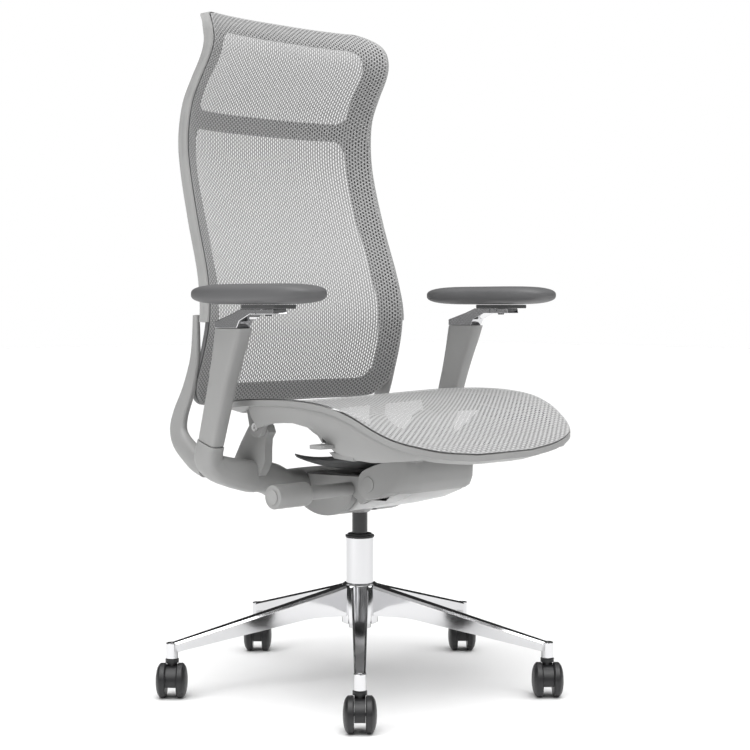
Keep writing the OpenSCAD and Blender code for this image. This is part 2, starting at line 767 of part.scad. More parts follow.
module seat_pivot_screws() {
    color("#b0b0b2") both_sides() difference() {
        union() {
            pin_x(screw_out + 4, fin_out + 14, P_SEAT[0], P_SEAT[1], 4);
            pin_x(screw_out, screw_out + 4, P_SEAT[0], P_SEAT[1], 7.5);
        }
        translate([screw_out - 1, P_SEAT[0], P_SEAT[1]]) rotate([0, 90, 0]) cylinder(h = 4, r = 3, $fn = 6);
    }
}

module link_pin() {
    color("#8a8a8c") pin_x(-104, 104, P_LINK[0], P_LINK[1], link_pin_radius);
}

module lever_pin() {
    color("#8a8a8c") translate([LEVER_X, P_LEVER[0] - 30, P_LEVER[1]]) rotate([-90, 0, 0])
        cylinder(h = 60, r = 2);
}

module height_lever() {
    color(LIGHT) translate([LEVER_X, P_LEVER[0], P_LEVER[1]]) difference() {
        union() {
            translate([-24, 0, 0]) linear_extrude(6, center = true)
                offset(r = 10) square([20, 12], center = true);
            rotate([90, 0, 0]) cylinder(h = 36, r = 4.5, center = true);
            translate([-8, 0, 0]) cube([14, 24, 6], center = true);
        }
        rotate([90, 0, 0]) cylinder(h = 80, r = 2 + run, center = true);
    }
}

// ---- arms ----------------------------------------------------------------

sleeve_length = 217;
sleeve_top = 643;

// Sleeve in its own line: rows of [height, half width, half depth]
module sleeve(side) {
    rows = [[1.8, 15, 22], [50, 15.5, 23], [110, 16, 24.5], [150, 16.5, 27.5], [190, 17, 32],
        [sleeve_length, 17, 34]];
    color(LIGHT) scale([side == RIGHT ? 1 : -1, 1, 1]) arm_line() difference() {
        skin([for (r = refine(rows, 3))
            rounded_ring([0, 0, r[0]], [1, 0, 0], [0, 1, 0], r[1], r[2], 0.45, 24)]);
        translate([0, 0, -1]) linear_extrude(sleeve_bore) core_shape(gap);
        level_cut();
    }
}

// Everything above the sleeve's level top, in the arm's own line
module level_cut() {
    rise = (sleeve_top - ELBOW_UP[2]) / ARM_LEAN[2];
    translate([0, 0, rise]) rotate([-atan2(-ARM_LEAN[1], ARM_LEAN[2]), 0, 0])
        translate([-50, -100, 0]) cube([100, 200, 60]);
}

// The sleeve's middle at its top, and the pad's turning point
sleeve_y = ELBOW_UP[1] + ARM_LEAN[1] * (sleeve_top - ELBOW_UP[2]) / ARM_LEAN[2];
PAD_TURN = -84;
pad_middle = -56;
plate_thickness = 5;
sleeve_bore = 178;

module arm_bracket(side) {
    top = pad_height - plate_thickness - 2 * seam - 2;
    low = sleeve_top + seam;
    color(METAL) translate([side * arm_reach, 0, 0]) {
        difference() {
            union() {
                along_x(-15, 15) polygon([
                    [sleeve_y + 31, low], [sleeve_y + 31, low + 11], [sleeve_y - 14, top - 8],
                    [sleeve_y - 36, top], [PAD_TURN - 28, top], [PAD_TURN - 30, top - 9],
                    [PAD_TURN + 30, top - 9], [sleeve_y - 33, low + 12], [sleeve_y - 26, low]
                ]);
                translate([0, PAD_TURN, top - 9]) cylinder(h = 9, r = 22);
            }
            translate([0, PAD_TURN, 500]) cylinder(h = 300, r = 6 + run);
        }
    }
}

module pad_plate(side) {
    color(DARK) translate([side * arm_reach, 0, 0]) {
        translate([0, PAD_TURN, pad_height - plate_thickness - seam - 2]) linear_extrude(plate_thickness + 1.6)
            offset(r = 8) square([34, 74], center = true);
        translate([0, PAD_TURN, pad_height - plate_thickness - 14]) cylinder(h = 12, r = 6);
    }
}

// Soft pad: a crowned bar with round ends
module arm_pad(side) {
    rows = [for (i = [0 : 16]) let (t = -1 + i / 8, s = pow(max(0, 1 - pow(abs(t), 5)), 0.42))
        [t * pad_length / 2, s]];
    color(MID) translate([side * arm_reach, pad_middle, pad_height + pad_thickness / 2])
        skin([for (r = rows)
            rounded_ring([0, r[0], 0], [1, 0, 0], [0, 0, -1],
                max(4, pad_width / 2 * (0.18 + 0.82 * r[1])), max(3, pad_thickness / 2 * r[1]), 0.62, 24)]);
}

star_base();
column_tube();
column_collar();
guide_bush();
thrust_bearing();
column_clip();
piston_rod();
gas_cylinder();
chassis_casting();
chassis_cover();
mechanism_cover();
tension_spring();
recline_pin();
front_pin();
knob_shaft();
tension_knob();
yoke_bracket();
yoke(LEFT);  // yoke_left
yoke(RIGHT);  // yoke_right
back_shell();
back_frame();
neck_bar();
back_mesh();
arm_post(LEFT);  // arm_post_left
arm_post(RIGHT);  // arm_post_right
front_link();
seat_frame();
seat_pan();
seat_mesh();
seat_pivot_screws();
link_pin();
lever_pin();
height_lever();
sleeve(LEFT);  // arm_sleeve_left
sleeve(RIGHT);  // arm_sleeve_right
arm_bracket(LEFT);  // arm_bracket_left
arm_bracket(RIGHT);  // arm_bracket_right
pad_plate(LEFT);  // pad_plate_left
pad_plate(RIGHT);  // pad_plate_right
arm_pad(LEFT);  // arm_pad_left
arm_pad(RIGHT);  // arm_pad_right
for (i = CASTERS) {
    caster_hood(i);
    caster_stem(i);
    caster_wheels(i);
}
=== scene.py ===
import bpy, bmesh, math
import numpy as np
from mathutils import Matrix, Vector


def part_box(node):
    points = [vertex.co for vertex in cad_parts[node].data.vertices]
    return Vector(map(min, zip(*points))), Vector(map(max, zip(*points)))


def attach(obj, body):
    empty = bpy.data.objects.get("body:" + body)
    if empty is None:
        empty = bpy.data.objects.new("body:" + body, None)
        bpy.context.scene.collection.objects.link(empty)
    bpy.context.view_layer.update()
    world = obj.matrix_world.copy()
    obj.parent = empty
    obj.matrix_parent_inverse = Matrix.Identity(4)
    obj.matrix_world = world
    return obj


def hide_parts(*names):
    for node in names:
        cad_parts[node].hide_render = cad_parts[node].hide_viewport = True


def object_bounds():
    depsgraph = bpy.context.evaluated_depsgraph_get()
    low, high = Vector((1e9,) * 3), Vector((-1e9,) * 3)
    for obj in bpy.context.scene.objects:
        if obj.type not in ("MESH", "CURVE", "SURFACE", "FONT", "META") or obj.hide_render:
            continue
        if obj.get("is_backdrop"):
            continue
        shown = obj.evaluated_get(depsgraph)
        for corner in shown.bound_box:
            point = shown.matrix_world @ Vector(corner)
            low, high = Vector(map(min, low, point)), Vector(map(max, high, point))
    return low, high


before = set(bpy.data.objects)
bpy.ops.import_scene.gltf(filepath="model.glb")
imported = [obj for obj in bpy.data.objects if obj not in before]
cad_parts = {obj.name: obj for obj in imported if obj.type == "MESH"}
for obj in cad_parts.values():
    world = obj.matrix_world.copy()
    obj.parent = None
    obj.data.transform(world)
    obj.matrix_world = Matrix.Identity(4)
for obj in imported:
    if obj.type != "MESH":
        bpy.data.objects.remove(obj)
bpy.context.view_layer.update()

# ---- Studio ----------------------------------------------------------------
# A white painted board, lit by a wide soft ceiling light, three soft boxes and a pale room.
# The chair stands on it turned about 44 degrees to the camera, seen from the height of its seat.

scene = bpy.context.scene
scene.view_settings.view_transform = "Standard"
swivel_distance, eye_height, heading = 2.8967, 0.6817, math.radians(44.3)
look_down, look_aside, long_lens = math.radians(2.48), math.radians(0.542), 77.4
camera = bpy.data.objects.new("camera", bpy.data.cameras.new("camera"))
scene.collection.objects.link(camera)
camera.location = (-swivel_distance * math.sin(heading), -swivel_distance * math.cos(heading),
                   eye_height)
camera.rotation_euler = (math.pi / 2 - look_down, 0, -heading - look_aside)
camera.data.sensor_width = 36
camera.data.lens = long_lens
camera.data.clip_end = 60
scene.camera = camera

floor_board = bpy.data.materials.new("white_board")
floor_board.use_nodes = True
board = floor_board.node_tree
board_face = board.nodes["Principled BSDF"]
board_face.inputs["Roughness"].default_value = 0.75
board_place = board.nodes.new("ShaderNodeTexCoord")
board_cloud = board.nodes.new("ShaderNodeTexNoise")
board_cloud.inputs["Scale"].default_value = 1.5
board_tone = board.nodes.new("ShaderNodeValToRGB")
board_tone.color_ramp.elements[0].color = (0.93, 0.93, 0.93, 1)
board_tone.color_ramp.elements[1].color = (0.96, 0.96, 0.96, 1)
board.links.new(board_place.outputs["Object"], board_cloud.inputs["Vector"])
board.links.new(board_cloud.outputs["Fac"], board_tone.inputs["Fac"])
board.links.new(board_tone.outputs["Color"], board_face.inputs["Base Color"])
bpy.ops.mesh.primitive_plane_add(size=40)
floor = bpy.context.object
floor.name = "floor"
floor.data.materials.append(floor_board)
floor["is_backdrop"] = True

# the room: white to the eye, paler and darker bands for the metal to mirror
room = bpy.data.worlds.new("room")
scene.world = room
room.use_nodes = True
rn, rl = room.node_tree.nodes, room.node_tree.links
rn.clear()
way = rn.new("ShaderNodeTexCoord")
split = rn.new("ShaderNodeSeparateXYZ")
bands = rn.new("ShaderNodeValToRGB")
# each wall band is its height, as the sine of the angle above the floor, and its glow
walls = [(0.0, 0.35), (0.03, 0.04), (0.34, 0.03), (0.58, 0.05), (0.72, 0.8), (1.0, 0.9)]
while len(bands.color_ramp.elements) < len(walls):
    bands.color_ramp.elements.new(0.5)
for stop, (height, glow) in zip(bands.color_ramp.elements, walls):
    stop.position, stop.color = height, (glow, glow, glow, 1)
mirror_room = rn.new("ShaderNodeBackground")
mirror_room.inputs["Strength"].default_value = 1.0
plain_room = rn.new("ShaderNodeBackground")
plain_room.inputs["Color"].default_value = (1, 1, 1, 1)
plain_room.inputs["Strength"].default_value = 1.0
ray = rn.new("ShaderNodeLightPath")
mix = rn.new("ShaderNodeMixShader")
world_out = rn.new("ShaderNodeOutputWorld")
rl.new(way.outputs["Generated"], split.inputs["Vector"])
rl.new(split.outputs["Z"], bands.inputs["Fac"])
rl.new(bands.outputs["Color"], mirror_room.inputs["Color"])
rl.new(ray.outputs["Is Camera Ray"], mix.inputs["Fac"])
rl.new(mirror_room.outputs["Background"], mix.inputs[1])
rl.new(plain_room.outputs["Background"], mix.inputs[2])
rl.new(mix.outputs["Shader"], world_out.inputs["Surface"])


def soft_box(name, place, aim, size, power):
    lamp = bpy.data.objects.new(name, bpy.data.lights.new(name, "AREA"))
    lamp.data.shape, lamp.data.size, lamp.data.energy = "DISK", size, power
    lamp.location = place
    lamp.rotation_euler = (Vector(aim) - Vector(place)).to_track_quat("-Z", "Y").to_euler()
    scene.collection.objects.link(lamp)
    return lamp


soft_box("overhead_box", (-0.6, -0.9, 3.4), (0, 0, 0.5), 2.6, 40)
soft_box("left_box", (-3.4, 0.6, 1.9), (0, 0, 0.6), 2.0, 40)
soft_box("right_box", (1.6, -3.0, 1.6), (0, 0, 0.6), 1.6, 16)
ceiling = bpy.data.objects.new("ceiling_light", bpy.data.lights.new("ceiling_light", "SUN"))
ceiling.data.energy, ceiling.data.angle = 2.3, math.radians(80)
ceiling.rotation_euler = (math.radians(14), math.radians(-12), 0)
scene.collection.objects.link(ceiling)

# ---- Star base ---------------------------------------------------------------
# Five legs and a hub die-cast in one piece of aluminium, ground and polished bright.
# Each leg is a tall thin web with a flat top; the caster's stem goes up into the boss at its tip.


def finish(name, tone, rough, metal=0.0, spread=0.03, cloud=9.0, grain=700.0, relief=0.05,
           depth=0.0004, wear=0.0, shine=0.5):
    """A maker's surface: tone that drifts a little, a fine grain in gloss and relief, worn edges."""
    mat = bpy.data.materials.new(name)
    mat.use_nodes = True
    n, l = mat.node_tree.nodes, mat.node_tree.links
    face = n["Principled BSDF"]
    face.inputs["Metallic"].default_value = metal
    face.inputs["Specular IOR Level"].default_value = shine
    place = n.new("ShaderNodeTexCoord")
    drift = n.new("ShaderNodeTexNoise")
    drift.inputs["Scale"].default_value = cloud
    drift.inputs["Detail"].default_value = 4
    shades = n.new("ShaderNodeValToRGB")
    for stop, k, at in zip(shades.color_ramp.elements, (1 - spread, 1 + spread), (0.35, 0.65)):
        stop.position = at
        stop.color = (*[min(1.0, c * k) for c in tone], 1)
    l.new(place.outputs["Object"], drift.inputs["Vector"])
    l.new(drift.outputs["Fac"], shades.inputs["Fac"])
    colour = shades.outputs["Color"]
    if wear:
        edges = n.new("ShaderNodeNewGeometry")
        rubbed = n.new("ShaderNodeMapRange")
        rubbed.inputs["From Min"].default_value, rubbed.inputs["From Max"].default_value = 0.52, 0.62
        rubbed.inputs["To Max"].default_value = wear
        lighter = n.new("ShaderNodeMix")
        lighter.data_type = "RGBA"
        lighter.inputs["B"].default_value = (*[min(1.0, c * 1.5 + 0.05) for c in tone], 1)
        l.new(edges.outputs["Pointiness"], rubbed.inputs["Value"])
        l.new(rubbed.outputs["Result"], lighter.inputs["Factor"])
        l.new(colour, lighter.inputs["A"])
        colour = lighter.outputs["Result"]
    l.new(colour, face.inputs["Base Color"])
    fine = n.new("ShaderNodeTexNoise")
    fine.inputs["Scale"].default_value = grain
    fine.inputs["Detail"].default_value = 3
    gloss = n.new("ShaderNodeMapRange")
    gloss.inputs["To Min"].default_value = rough * 0.82
    gloss.inputs["To Max"].default_value = min(1.0, rough * 1.18)
    l.new(place.outputs["Object"], fine.inputs["Vector"])
    l.new(fine.outputs["Fac"], gloss.inputs["Value"])
    l.new(gloss.outputs["Result"], face.inputs["Roughness"])
    bump = n.new("ShaderNodeBump")
    bump.inputs["Strength"].default_value = relief
    bump.inputs["Distance"].default_value = depth
    l.new(fine.outputs["Fac"], bump.inputs["Height"])
    l.new(bump.outputs["Normal"], face.inputs["Normal"])
    return mat


def make(name, points, faces, skin, body, nodes, slot, crease=35, edge=0.0, steps=2):
    """One piece from its points and faces, shaded smooth up to the crease angle, edges rounded."""
    mesh = bpy.data.meshes.new(name)
    mesh.from_pydata([tuple(map(float, p)) for p in points], [], [tuple(map(int, f)) for f in faces])
    mesh.validate()
    mesh.materials.append(skin)
    piece = bpy.data.objects.new(name, mesh)
    scene.collection.objects.link(piece)
    bm = bmesh.new()
    bm.from_mesh(mesh)
    bmesh.ops.remove_doubles(bm, verts=bm.verts, dist=2e-6)
    bmesh.ops.recalc_face_normals(bm, faces=bm.faces)
    bm.to_mesh(mesh)
    bm.free()
    mesh.polygons.foreach_set("use_smooth", [True] * len(mesh.polygons))
    mesh.set_sharp_from_angle(angle=math.radians(crease))
    if edge:
        rounder = piece.modifiers.new("rounded_edges", "BEVEL")
        rounder.width, rounder.segments = edge, steps
        rounder.limit_method, rounder.angle_limit = "ANGLE", math.radians(crease)
        rounder.harden_normals = True
    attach(piece, body)
    if nodes:
        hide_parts(*nodes)
    return piece


def loft(rings, capped=True, closed=False):
    """Points and faces of a skin through rings that all have as many points."""
    n, m = len(rings[0]), len(rings)
    points = np.concatenate([np.asarray(r, float) for r in rings])
    faces = [(j * n + i, j * n + (i + 1) % n, (j + 1) % m * n + (i + 1) % n, (j + 1) % m * n + i)
             for j in range(m if closed else m - 1) for i in range(n)]
    if capped and not closed:
        faces += [tuple(range(n - 1, -1, -1)), tuple(range((m - 1) * n, m * n))]
    return points, faces


def turned(outline, centre, axis="z", count=64):
    """Points and faces of a turned piece; outline is (radius, distance along the axis) pairs."""
    rings = []
    for k in range(count):
        a = 2 * math.pi * k / count
        rings.append([(r * math.cos(a), r * math.sin(a), h) for r, h in outline])
    points, faces = loft(rings, closed=True)
    points = points[:, [2, 0, 1]] if axis == "x" else points
    return points + np.array(centre), faces


def joined(*parts):
    """Several sets of points and faces as one."""
    points, faces, base = [], [], 0
    for p, f in parts:
        points.append(np.asarray(p, float))
        faces += [tuple(i + base for i in q) for q in f]
        base += len(p)
    return np.concatenate(points), faces


polished = finish("polished_aluminium", (0.62, 0.62, 0.63), 0.10, metal=1.0, spread=0.02,
                  grain=60, relief=0.04, depth=0.0006)
hub_top, stem_circle, leg_turn = 0.182, 0.344, -44.3 - 90
hub_radius, web_low, boss_low = 0.033, 0.110, 0.0665
leg_root, leg_knee, web_knee = 0.026, 0.055, 0.093
shoulder_drop, leg_fall, chamfer, draft = 0.009, 0.077, 0.004, 0.002


def leg(angle):
    """One tapering leg at an angle, with the boss for the caster's stem under its tip."""
    c, s = math.cos(math.radians(angle)), math.sin(math.radians(angle))
    rings = []
    for t in np.linspace(0, 1, 17):
        r = leg_root + t * (stem_circle - leg_root)
        top = hub_top - 0.002 - shoulder_drop * min(1, (r - leg_root) / (leg_knee - leg_root))
        top -= leg_fall * max(0, (r - leg_knee) / (stem_circle - leg_knee))
        low = np.interp(r, [leg_root, web_knee, stem_circle], [0.124, 0.1235, 0.077])
        w = 0.0155 - 0.006 * t
        flat = w - 0.8 * chamfer
        section = [(w - draft, low), (w, top - chamfer), (flat, top), (-flat, top),
                   (-w, top - chamfer), (-w + draft, low)]
        rings.append([(r * c - q * s, r * s + q * c, z) for q, z in section])
    tip = turned([(0.0, boss_low), (0.0098, boss_low), (0.0105, boss_low + 0.001),
                  (0.0105, 0.0935), (0.0098, 0.0943), (0.0032, 0.0943), (0.003, 0.091), (0.0, 0.091)],
                 (stem_circle * c, stem_circle * s, 0), count=40)
    return joined(loft(rings), tip)


hub = turned([(0.0262, web_low + 0.001), (hub_radius - 0.001, web_low), (hub_radius, web_low + 0.001),
              (hub_radius, hub_top - 0.006), (hub_radius - 0.0015, hub_top - 0.0025),
              (hub_radius - 0.005, hub_top), (0.0262, hub_top)], (0, 0, 0), count=96)
make("star_base_cast", *joined(hub, *[leg(leg_turn + 72 * i) for i in range(5)]), polished,
     "base", ["star_base"], "polished_aluminium", crease=25, edge=0.0006)

# ---- Casters -----------------------------------------------------------------
# Five twin-wheel casters moulded in black nylon: a hood between two wheels on one steel axle.
# A steel stem, pressed into the hood, turns in the leg's boss.

black_nylon = finish("black_nylon", (0.012, 0.012, 0.013), 0.42, spread=0.15, grain=900,
                     relief=0.12)
stem_steel = finish("stem_steel", (0.46, 0.46, 0.47), 0.3, metal=1.0, grain=200, relief=0.05)


def paint(node, skin):
    """A CAD node that keeps its shape gets the finish on each of its material slots."""
    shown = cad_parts[node]
    for holder in shown.material_slots:
        holder.material = skin
    if not shown.material_slots:
        shown.data.materials.append(skin)


def dress(node, name, skin, body, slot, edge=0.0008, crease=32, steps=2, nose=None):
    """A piece of the CAD node's own form, its facets merged, its edges rounded, its nose drawn in."""
    bm = bmesh.new()
    bm.from_mesh(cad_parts[node].data)
    bmesh.ops.remove_doubles(bm, verts=bm.verts, dist=3e-6)
    bmesh.ops.dissolve_limit(bm, angle_limit=math.radians(0.4), verts=bm.verts, edges=bm.edges)
    bm.verts.index_update()
    points = [tuple(v.co) for v in bm.verts]
    if nose:
        start, share = nose
        points = [(x, y if y > start else start + (y - start) * share, z) for x, y, z in points]
    faces = [tuple(v.index for v in f.verts) for f in bm.faces]
    bm.free()
    return make(name, points, faces, skin, body, [node], slot, crease, edge, steps)


for i in range(1, 6):
    paint(f"caster_{i}_stem", stem_steel)
    dress(f"caster_{i}_hood", f"hood_{i}", black_nylon, f"caster_{i}", "black_nylon", 0.0008)
    dress(f"caster_{i}_wheels", f"twin_wheels_{i}", black_nylon, f"wheels_{i}", "black_nylon",
          0.0005, 28)

# ---- Gas lift ----------------------------------------------------------------
# A chromed steel tube pressed into the hub, with a black plastic collar and guide bush at its mouth.
# The black painted pressure cylinder slides in it on a ground rod that stands on a thrust bearing.

chrome = finish("chrome", (0.55, 0.55, 0.56), 0.045, metal=1.0, spread=0.01, grain=40, relief=0.02)
black_paint = finish("black_paint", (0.008, 0.008, 0.009), 0.2, spread=0.2, grain=500, relief=0.03)
acetal = finish("acetal", (0.62, 0.62, 0.58), 0.5, grain=400, relief=0.05)
dress("column_tube", "outer_tube", chrome, "base", "chrome", 0.0006)
dress("column_collar", "tube_collar", black_nylon, "base", "black_nylon", 0.0008)
paint("guide_bush", acetal)
paint("thrust_bearing", stem_steel)
paint("column_clip", stem_steel)
paint("piston_rod", chrome)
dress("gas_cylinder", "pressure_cylinder", black_paint, "chassis", "black_paint", 0.0005)

# ---- Tilt mechanism ----------------------------------------------------------
# A die-cast aluminium chassis, its underside left bright, holds the springs and the tilt pins.
# A grey nylon shell clips round its rear, and a dark bowl over it hides the works from above.

cast_aluminium = finish("cast_aluminium", (0.50, 0.50, 0.50), 0.36, metal=0.85, cloud=25,
                        spread=0.05, grain=500, relief=0.08)
grey_nylon = finish("grey_nylon", (0.265, 0.265, 0.262), 0.46, spread=0.025, grain=1100,
                    relief=0.09, wear=0.25)
dark_nylon = finish("dark_nylon", (0.055, 0.056, 0.057), 0.5, spread=0.08, grain=900, relief=0.1)
nose_start, nose_share = -0.140, 0.5
dress("chassis_casting", "chassis", cast_aluminium, "chassis", "cast_aluminium", 0.0015,
      nose=(nose_start, nose_share))
dress("chassis_cover", "mechanism_shell", grey_nylon, "chassis", "grey_nylon", 0.0012)
dress("mechanism_cover", "mechanism_bowl", dark_nylon, "chassis", "dark_nylon", 0.0)
paint("tension_spring", stem_steel)
paint("recline_pin", stem_steel)
paint("front_pin", stem_steel)

# ---- Tension knob ------------------------------------------------------------
# A grey nylon grip on a long shaft out to the sitter's right, turned by hand to set the springs.
# Shaft and grip are two mouldings, and a round plug closes the grip's outer end.

dress("knob_shaft", "tension_shaft", grey_nylon, "knob", "grey_nylon", 0.0008)
dress("tension_knob", "tension_grip", grey_nylon, "knob", "grey_nylon", 0.002)
knob_low, knob_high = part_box("tension_knob")
knob_end = (knob_low.x, (knob_low.y + knob_high.y) / 2, (knob_low.z + knob_high.z) / 2)
end_plug = turned([(0.0, 0.0), (0.0118, 0.0), (0.0124, -0.0008), (0.0124, -0.0012), (0.0, -0.0013)],
                  knob_end, axis="x", count=48)
make("knob_plug", *end_plug, grey_nylon, "knob", [], "grey_nylon", 30)

# ---- Yoke --------------------------------------------------------------------
# Three mouldings of glass-filled grey nylon that hinge on the chassis and carry back and arms:
# a middle bracket with two fins up to the seat, and on each side a rail, elbow and arm receiver.

dress("yoke_bracket", "yoke_middle", grey_nylon, "back", "grey_nylon", 0.001, 40)
dress("yoke_left", "yoke_arm_left", grey_nylon, "back", "grey_nylon", 0.0, 40)
dress("yoke_right", "yoke_arm_right", grey_nylon, "back", "grey_nylon", 0.0, 40)
paint("arm_post_left", stem_steel)
paint("arm_post_right", stem_steel)

# ---- Back --------------------------------------------------------------------
# A dark ring and neck bar moulded in nylon, a thin pale shell behind the ring, and one piece of
# elastic knit stretched over the front, so that the ring shows through it as a darker border.


def grid_of(node, axis):
    """The middle surface of a CAD sheet as rows of points, in order along the axis."""
    off = 3 - axis  # a back's rows lie along z and are thin in y, a seat's along y and thin in z
    keys = {}
    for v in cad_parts[node].data.vertices:
        keys.setdefault((round(v.co[axis], 5), round(v.co[0], 5)), []).append(v.co[off])
    rows = {}
    for (a, x), depths in keys.items():
        p = [x, 0, 0]
        p[axis], p[off] = a, (min(depths) + max(depths)) / 2
        rows.setdefault(a, []).append(p)
    return [np.array(sorted(rows[a])) for a in sorted(rows)]


def curve(knots, values, at):
    """Smooth curve through values at the knots, each a number or an array."""
    knots, values, at = np.asarray(knots, float), np.asarray(values, float), np.asarray(at, float)
    slope = np.gradient(values, knots, axis=0)
    i = np.clip(np.searchsorted(knots, at) - 1, 0, len(knots) - 2)
    h, t = knots[i + 1] - knots[i], (at - knots[i]) / (knots[i + 1] - knots[i])
    spread = at.shape + (1,) * (values.ndim - 1)
    h, t = h.reshape(spread), t.reshape(spread)
    return ((2 * t**3 - 3 * t**2 + 1) * values[i] + (t**3 - 2 * t**2 + t) * h * slope[i]
            + (3 * t**2 - 2 * t**3) * values[i + 1] + (t**3 - t**2) * h * slope[i + 1])


back_rows = grid_of("back_mesh", 2)
back_low, back_high = back_rows[0][0][2], back_rows[-1][0][2]
low_corner, top_corner, border = 0.055, 0.044, 0.037
straight = [r for r in back_rows if back_low + low_corner <= r[0][2] <= back_high - top_corner]
side_z = np.array([r[0][2] for r in straight])
side_half = np.array([r[-1][0] for r in straight])


def back_half(z):
    """Half the back's width at a height, carried on straight past its rounded corners."""
    inside = np.clip(z, side_z[0], side_z[-1])
    past_low = np.minimum(0, z - side_z[0]) * (side_half[1] - side_half[0]) / (side_z[1] - side_z[0])
    past_top = np.maximum(0, z - side_z[-1]) * (side_half[-1] - side_half[-2]) / (side_z[-1] - side_z[-2])
    return curve(side_z, side_half, inside) + past_low + past_top


row_z = np.array([r[0][2] for r in back_rows])
middle_y = np.array([r[len(r) // 2][1] for r in back_rows])
hollow = np.array([(r[len(r) // 2][1] - r[-1][1]) / (r[-1][0] / back_half(r[0][2])) ** 3
                   for r in back_rows])


def back_face(x, z):
    """Where the stretched knit lies: hollowed between the two edges, more at the shoulders."""
    u = np.minimum(1.0, np.abs(x) / back_half(z))
    return curve(row_z, middle_y, z) - curve(row_z, hollow, z) * u ** 3


def outline(inset, low_round, top_round, grow=0.0):
    """The back's rounded outline, inset from its edge, as (x, z) pairs from the middle below."""
    z0, z1 = back_low + inset, back_high - inset
    right = [(back_half(z0) - inset + grow - low_round) * i / 12 for i in range(12)]
    right = [(x, z0) for x in right]
    for i in range(14):
        t = math.radians(-90 + 90 * i / 14)
        z = z0 + low_round + low_round * math.sin(t)
        right.append((back_half(z) - inset + grow - low_round + low_round * math.cos(t), z))
    for i in range(70):
        z = z0 + low_round + (z1 - top_round - z0 - low_round) * i / 70
        right.append((back_half(z) - inset + grow, z))
    for i in range(14):
        t = math.radians(90 * i / 14)
        z = z1 - top_round + top_round * math.sin(t)
        right.append((back_half(z) - inset + grow - top_round + top_round * math.cos(t), z))
    right += [((1 - i / 12) * (back_half(z1) - inset + grow - top_round), z1) for i in range(12)]
    return right + [(0, z1)] + [(-x, z) for x, z in right[:0:-1]]


def back_ring(outer, inner, front, rear):
    """Rings of a frame that follows the back's face between two depths behind it."""
    return [[(x, back_face(x, z) + d, z) for (x, z), d in
             ((o, rear), (n, rear), (n, front), (o, front))] for o, n in zip(outer, inner)]


ring_nylon = finish("ring_nylon", (0.11, 0.11, 0.112), 0.5, spread=0.08, grain=900, relief=0.1)
make("back_ring", *loft(back_ring(outline(0, low_corner, top_corner), outline(border, 0.034, 0.03),
                                  0.0034, 0.0135), closed=True),
     ring_nylon, "back", ["back_frame"], "dark_nylon", edge=0.002, steps=3)

bar_low, bar_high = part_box("neck_bar")
bar_rings = []
for x in np.linspace(bar_low.x, bar_high.x, 81):
    fillet = 0.022
    near = max(0.0, fillet - (bar_high.x - abs(x)))
    reach = 0.0165 + fillet - math.sqrt(fillet ** 2 - near ** 2)
    z0 = (bar_low.z + bar_high.z) / 2
    bar_rings.append([(x, back_face(x, z) + d, z) for z, d in
                      ((z0 - reach, 0.0131), (z0 + reach, 0.0131), (z0 + reach, 0.0045),
                       (z0 - reach, 0.0045))])
make("neck_support", *loft(bar_rings), ring_nylon, "back", ["neck_bar"], "dark_nylon",
     edge=0.0015, steps=3)

shell_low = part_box("back_shell")[0].z
shell_width, shell_overhang, lip_thickness, rail_lap = 0.025, 0.005, 0.0042, 0.012
rim = list(zip(outline(0, low_corner, top_corner, shell_overhang),
               outline(shell_width, 0.03, 0.03)))
rim = [pair for pair in rim if pair[0][1] > shell_low - rail_lap]
shell_outer, shell_inner = zip(*rim)
lip_inner = [(x - math.copysign(lip_thickness, x), z) for x, z in shell_outer]
make("pale_shell", *joined(loft(back_ring(shell_outer, shell_inner, 0.0139, 0.024)),
                           loft(back_ring(shell_outer, lip_inner, 0.0015, 0.0145))),
     grey_nylon, "back", ["back_shell"], "grey_nylon", edge=0.002, steps=3)


